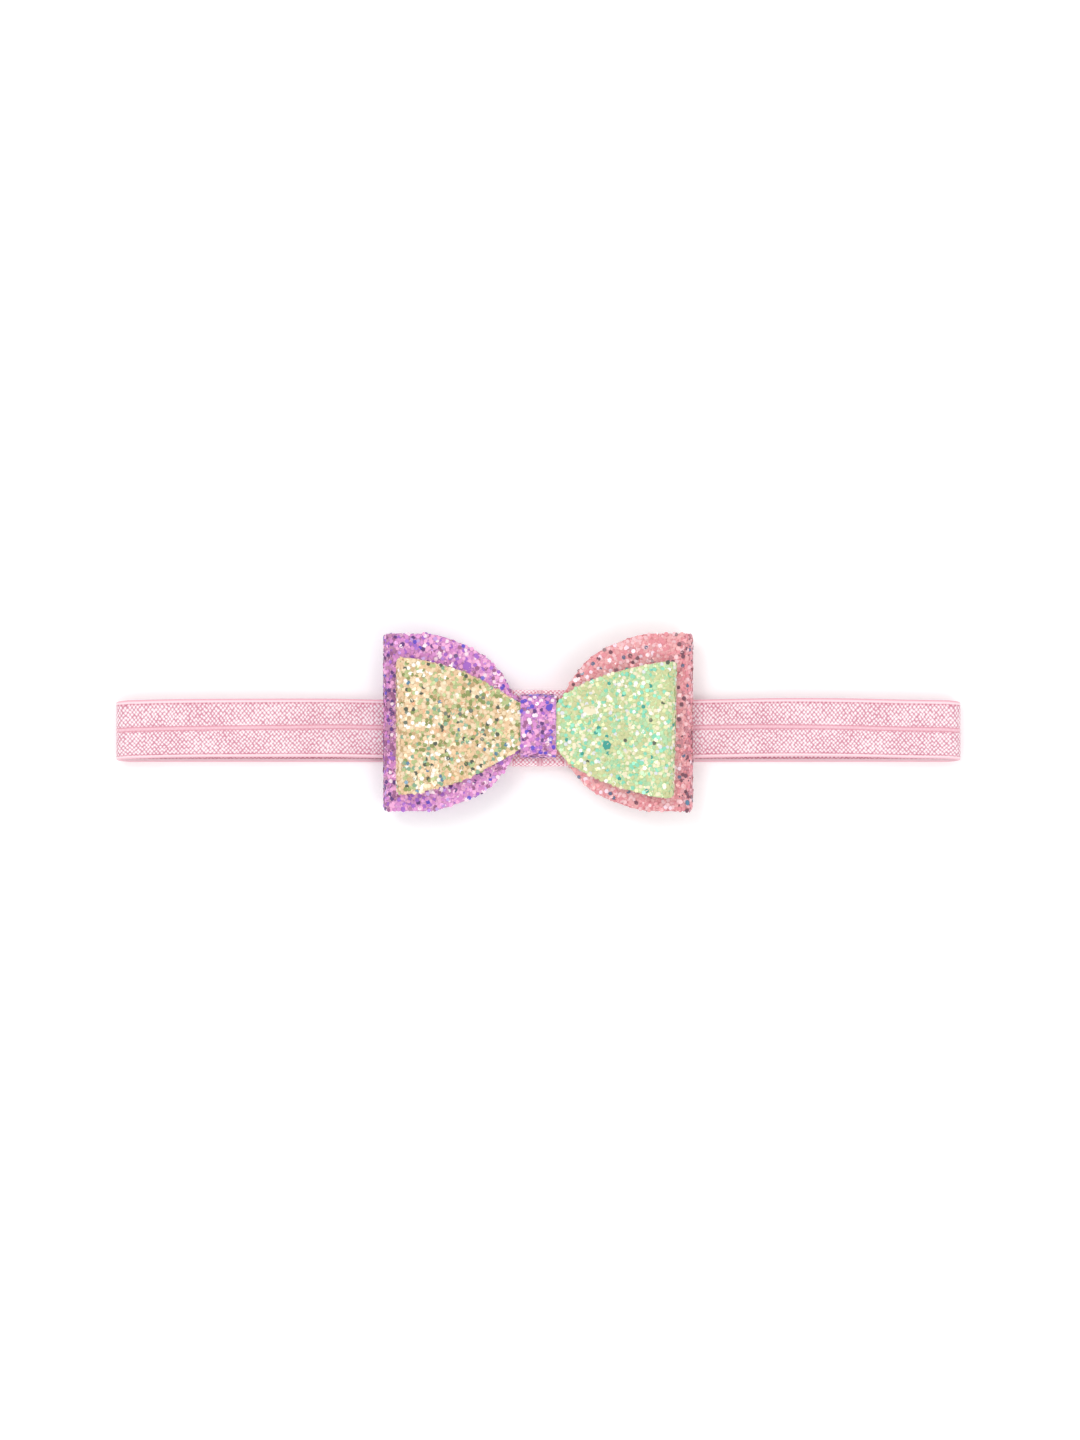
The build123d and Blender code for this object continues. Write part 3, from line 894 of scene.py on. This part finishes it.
def loopFlakes(name, settings, side):
    # flakes over the outer face of a folded sheet, from edge to edge
    rng = np.random.default_rng(settings["seed"] + 100)
    profile = foldedProfile(settings, sheetThick, step=0.2)
    normal = bentNormals(profile)
    run = np.concatenate([[0], np.cumsum(np.linalg.norm(np.diff(profile, axis=0), axis=1))])
    low, high = nodeBox(settings["node"] + "_glitter")
    spans = ((0, run[-1]), (low[1], high[1] + settings["shift"]))
    spots, radii, lifts, films = strewFlakes(rng, spans, settings)
    x = np.interp(spots[:, 0], run, profile[:, 0])
    # near the fold many flakes come from the fold's own mix: darker on the big loops, painted shade where
    # the sheet turns away round the fold, and plainer on the small loops
    foldFilms = pickFilms(rng, spots, settings["fold"])
    atFold = ease((x - settings["reach"] + settings["foldZone"]) / settleSet["foldFade"])
    foldMixed = rng.uniform(0, 1, len(x)) < settleSet["foldMixed"] * atFold
    films = np.where(foldMixed, foldFilms, films)
    bottom, top = outlineAt(settings, x)
    bare = settleSet["bareEdge"]
    pastWrap = x > wrapEdge - settleSet["underWrap"]
    inside = (spots[:, 1] > bottom + bare) & (spots[:, 1] < top - bare) & pastWrap
    spots, radii, lifts, films = (part[inside] for part in (spots, radii, lifts, films))
    leafEnd = np.argmax(profile[:, 0])
    for largeX, largeY, radius, film in settings["large"]:
        at = np.interp(abs(largeX), profile[:leafEnd, 0], run[:leafEnd])
        spots = np.concatenate([spots, [[at, largeY]]])
        radii = np.append(radii, radius)
        lifts = np.append(lifts, flakeSet["largeLift"])
        films = np.append(films, film)
    x, z = (np.interp(spots[:, 0], run, profile[:, k]) for k in (0, 1))
    nx, nz = (np.interp(spots[:, 0], run, normal[:, k]) for k in (0, 1))
    zero = np.zeros(len(x))
    places = settle(np.stack([x * side, spots[:, 1], z], axis=1), settings)
    normals = np.stack([nx * side, zero, nz], axis=1)
    normals /= np.linalg.norm(normals, axis=1)[:, None]
    runs = np.stack([normals[:, 2], zero, -normals[:, 0]], axis=1)
    return flakeMesh(name, rng, places, normals, runs, radii, lifts, films)


bowsGap = 0.3  # between the two bows at their folds
bigLow, bigHigh = nodeBox("big_loop_right_glitter")
smallHigh = nodeBox("small_loop_right_glitter")[1]
for name, settings in loopSet.items():
    side = -1 if name.endswith("Left") else 1
    if name.startswith("big"):
        settings["foldLow"], settings["foldHeight"] = bigLow[2], bigHigh[2] - bigLow[2]
    else:
        settings["foldLow"] = bigHigh[2] + bowsGap
        settings["foldHeight"] = smallHigh[2] - settings["foldLow"]
    node = settings["node"]
    shell = loopShell(name + "Backing", settings, side, 0, sheetSet["backing"], backing)
    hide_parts(node + "_backing")
    resin = glitterCoat(*settings["coat"])
    coat = loopShell(name + "GlitterCoat", settings, side, sheetSet["backing"], sheetThick, resin)
    flakes = loopFlakes(name + "Flakes", settings, side)
    for piece in (coat, flakes):
        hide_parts(node + "_glitter")
    for piece in (shell, coat, flakes):
        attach(piece, "bow_and_band")
    # the sheet's flat cut is as long as the folded strip and as wide as the bow
    middle = foldedProfile(settings, sheetSet["backing"] / 2)
    bottom, top = outlineAt(settings, middle[:, 0])
    print(name, "made with", len(flakes.data.vertices) // 12, "flakes")


# The centre wrap, a strip of glitter sheet round both bows.
wrapSet = {
    "seed": 31, "fineSpacing": 0.78, "chunkySpacing": 0.95,
    "coat": ("resinGlitterViolet", "B275BC", "D597D0", "EBAEE0", "8560C0"),
    "fine": {"Orchid": 44, "Pink": 26, "Violet": 12, "Heather": 18},
    "chunky": {"Orchid": 24, "Pink": 20, "Violet": 12, "BlueViolet": 11, "Blush": 10, "Heather": 7,
               "Plum": 5, "Mauve": 10},
    "large": [(4.7, 2.7, 0.9, "BlueViolet")],  # up, across, radius
    "backBend": 0.2, "frontBend": 2.0,
    "pastGlue": 0.4,
    "raggedness": 0.04,
    "bareEnds": 12,  # the overlapped ends are glued and carry no loose flakes
    "bareEdge": 0.25,
    "frontWithin": 0.3,  # the front is what lies within this of its highest part
}


def wrapStrip(name, inner, outer, material):
    # one layer of the wrap, and the line down its middle
    middle = (inner + outer) / 2
    gapLow, gapHigh = nodeBox("wrap_glue")
    floor = gapHigh[2] + sheetThick
    bends = [wrapSet[end] + middle for end in ("backBend", "frontBend", "frontBend", "backBend")]
    path = coilPath(
        gapHigh[1] - wrapY + wrapSet["pastGlue"],
        wrapInner + middle,
        floor - middle,
        wrapHigh[2] - sheetThick + middle,
        gapLow[2] - middle,
        bends,
    )
    rng = np.random.default_rng(wrapSet["seed"])
    half = (outer - inner) / 2
    v = np.linspace(-wrapEdge, wrapEdge, 14)[None] + np.zeros((len(path), 1))
    v[:, 0] += rng.normal(0, wrapSet["raggedness"], len(path))
    v[:, -1] += rng.normal(0, wrapSet["raggedness"], len(path))
    outside = np.stack([v, np.full_like(v, half)], axis=2)
    inside = np.stack([v[:, ::-1], np.full_like(v, -half)], axis=2)
    return path, coilStrip(name, path, wrapY, np.concatenate([outside, inside], axis=1), material)


wrapPath, wrapBacking = wrapStrip("centreWrapBacking", 0, sheetSet["backing"], backing)
coatPath, wrapCoat = wrapStrip(
    "centreWrapGlitterCoat", sheetSet["backing"], sheetThick, glitterCoat(*wrapSet["coat"])
)


def wrapFlakes(name):
    # flakes over the wrap's outer face
    rng = np.random.default_rng(wrapSet["seed"] + 100)
    normal = bentNormals(coatPath)
    outer = coatPath + normal * sheetSet["coat"] / 2
    run = np.concatenate([[0], np.cumsum(np.linalg.norm(np.diff(outer, axis=0), axis=1))])
    spans = ((wrapSet["bareEnds"], run[-1] - wrapSet["bareEnds"]), (-wrapEdge, wrapEdge))
    spots, radii, lifts, films = strewFlakes(rng, spans, wrapSet)
    inside = np.abs(spots[:, 1]) < wrapEdge - wrapSet["bareEdge"]
    spots, radii, lifts, films = (part[inside] for part in (spots, radii, lifts, films))
    front = outer[:, 1] > outer[:, 1].max() - wrapSet["frontWithin"]
    for up, across, radius, film in wrapSet["large"]:
        at = np.interp(up, outer[front, 0], run[front])
        spots = np.concatenate([spots, [[at, across]]])
        radii = np.append(radii, radius)
        lifts = np.append(lifts, flakeSet["largeLift"])
        films = np.append(films, film)
    y, z = (np.interp(spots[:, 0], run, outer[:, k]) for k in (0, 1))
    ny, nz = (np.interp(spots[:, 0], run, normal[:, k]) for k in (0, 1))
    places = np.stack([spots[:, 1], y + wrapY, z], axis=1)
    normals = np.stack([np.zeros(len(y)), ny, nz], axis=1)
    normals /= np.linalg.norm(normals, axis=1)[:, None]
    runs = np.tile([1.0, 0, 0], (len(y), 1))
    return flakeMesh(name, rng, places, normals, runs, radii, lifts, films)


wrapGlitter = wrapFlakes("centreWrapFlakes")
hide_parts("wrap_backing")
for piece in (wrapCoat, wrapGlitter):
    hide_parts("wrap_glitter")
for piece in (wrapBacking, wrapCoat, wrapGlitter):
    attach(piece, "bow_and_band")
print("centre wrap made")


# the glue and the stitches keep their CAD shapes
for node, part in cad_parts.items():
    keep = glue if "glue" in node else sewingThread if "stitches" in node else None
    if keep:
        part.data.materials.clear()
        part.data.materials.append(keep)
print("glue and stitches coloured")


def lightArea(name, place, size, power):
    # a square soft light, turned to face the middle of the object
    lamp = bpy.data.lights.new(name, "AREA")
    lamp.shape = "SQUARE"
    lamp.size = size
    lamp.energy = power
    holder = bpy.data.objects.new(name, lamp)
    bpy.context.scene.collection.objects.link(holder)
    holder.location = place
    direction = -np.array(place)
    yaw = math.atan2(direction[1], direction[0]) + math.pi / 2
    pitch = math.acos(-direction[2] / np.linalg.norm(direction))
    holder.rotation_euler = (pitch, 0, yaw + math.pi)


# it lies just below the elastic, so that the two surfaces don't coincide
floorSet = {"half": 6000, "mottle": 13.333, "below": 0.05}

# translucent white acrylic, sanded, with a little light from below, so shadows on it stay faint
floorMaterial, floorTree, floorShader = newMaterial(
    "acrylicFloorSanded",
    Roughness=0.9,
    Specular_IOR_Level=0.1,
    Emission_Color=hexColour("FFFFFF"),
    Emission_Strength=0.1,
)
mottle = addNode(
    floorTree, "ShaderNodeTexNoise", {"Scale": 2 * floorSet["half"] / floorSet["mottle"], "Detail": 3.0}
)
floorTone = addNode(floorTree, "ShaderNodeValToRGB", {"Fac": mottle}, [(0.3, "FBFBFB"), (0.7, "FDFDFD")])
floorTree.links.new(floorTone.outputs[0], floorShader.inputs["Base Color"])
corners = [(x * floorSet["half"], y * floorSet["half"], 0) for x, y in ((-1, -1), (1, -1), (1, 1), (-1, 1))]
floor = meshObject("acrylicFloor", corners, [(0, 1, 2, 3)], floorMaterial, smooth=False)
floor.location.z = -floorSet["below"] * mm

# places and sizes in metres, power in watts
lightSet = {
    "sky": 0.86,
    "softboxLeft": {"place": (-0.55, 0.6, 1.7), "size": 0.6, "power": 7.0},
    "softboxRight": {"place": (0.6, -0.55, 1.7), "size": 0.7, "power": 5.0},
}
world = bpy.data.worlds.new("studioWhite")
bpy.context.scene.world = world
world.use_nodes = True
sky = world.node_tree.nodes["Background"]
sky.inputs["Color"].default_value = hexColour("FFFFFF")
sky.inputs["Strength"].default_value = lightSet["sky"]
for name in ("softboxLeft", "softboxRight"):
    lightArea(name, **lightSet[name])
print("floor and lights made")

# distance and height of the view in metres, measured this much over the floor, and its centre
# in millimetres
viewSet = {"distance": 2.0, "over": 0.008, "height": 0.3692, "centre": (0.42, 0.6)}
camera = bpy.data.cameras.new("frontCamera")
camera.sensor_width = 36.0
camera.lens = camera.sensor_width * viewSet["distance"] / viewSet["height"]
camera.clip_end = 20.0
cameraHolder = bpy.data.objects.new("frontCamera", camera)
bpy.context.scene.collection.objects.link(cameraHolder)
cameraHolder.location = (
    viewSet["centre"][0] * mm,
    viewSet["centre"][1] * mm,
    viewSet["distance"] + viewSet["over"],
)
bpy.context.scene.camera = cameraHolder
bpy.context.scene.view_settings.view_transform = "Standard"
print("camera placed")
